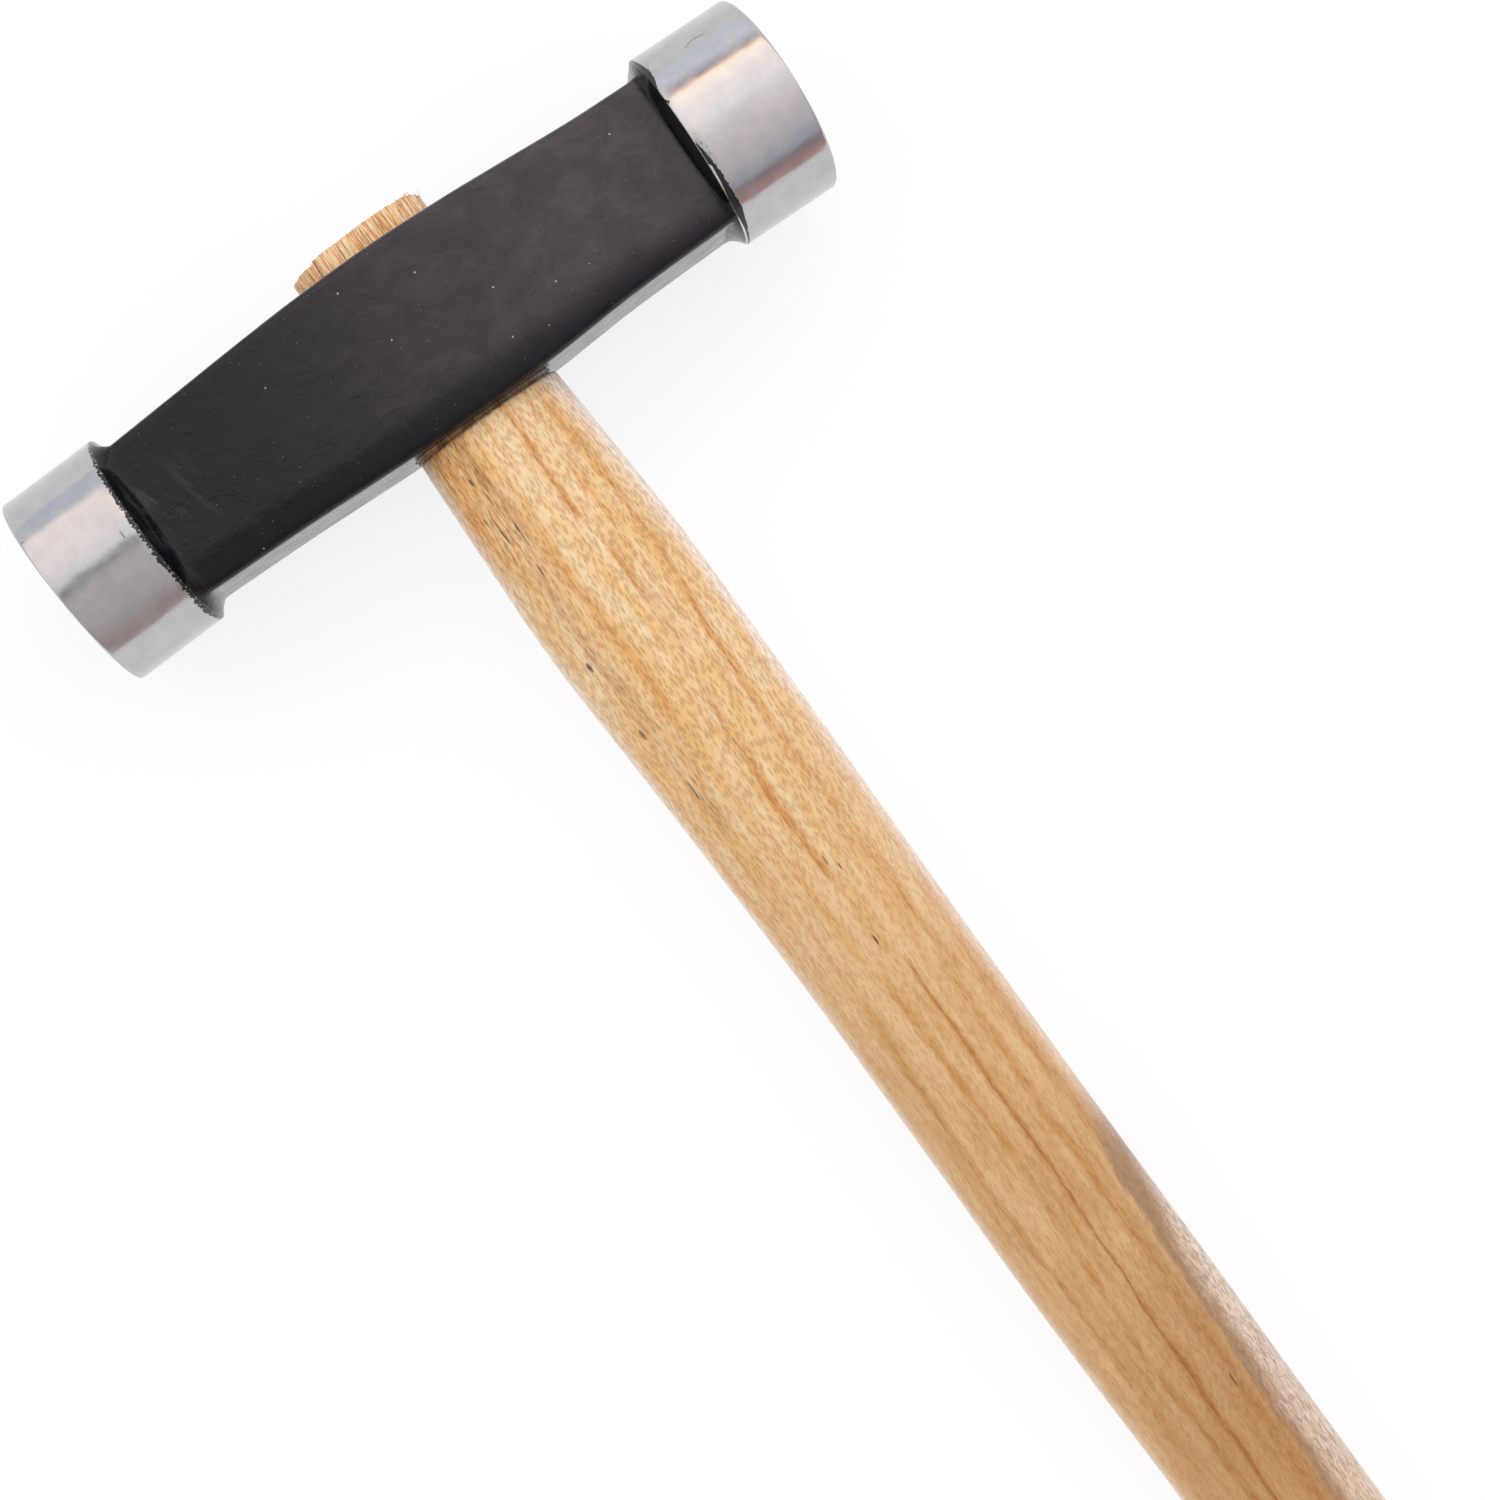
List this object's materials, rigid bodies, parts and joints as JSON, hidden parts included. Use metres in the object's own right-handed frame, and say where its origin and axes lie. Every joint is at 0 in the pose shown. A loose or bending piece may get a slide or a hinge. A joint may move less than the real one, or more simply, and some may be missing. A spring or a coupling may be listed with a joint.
{
  "type": "planishing hammer",
  "caption": "Planishing hammer with a bowed black lacquered head, round polished faces, flat at one end and domed at the other, and a pale oval wooden handle.",
  "frame": {"origin": "middle of the hammer's box, on the level that it lies on", "axes": "+X along the head towards the domed face, +Y from the handle's butt towards the head, +Z out of the upper cheek"},
  "size_m": [0.112, 0.2904, 0.0275],
  "materials": {
    "black_lacquer": "satin black lacquer on forged steel",
    "polished_steel": "ground and polished steel",
    "handle_wood": "pale hardwood with a thin clear finish",
    "wedge_wood": "bare hardwood end grain"
  },
  "bodies": {
    "root": {"hammer_head": "black_lacquer", "handle": "handle_wood", "wooden_wedge": "wedge_wood", "steel_wedge": "polished_steel"}
  },
  "joints": []
}
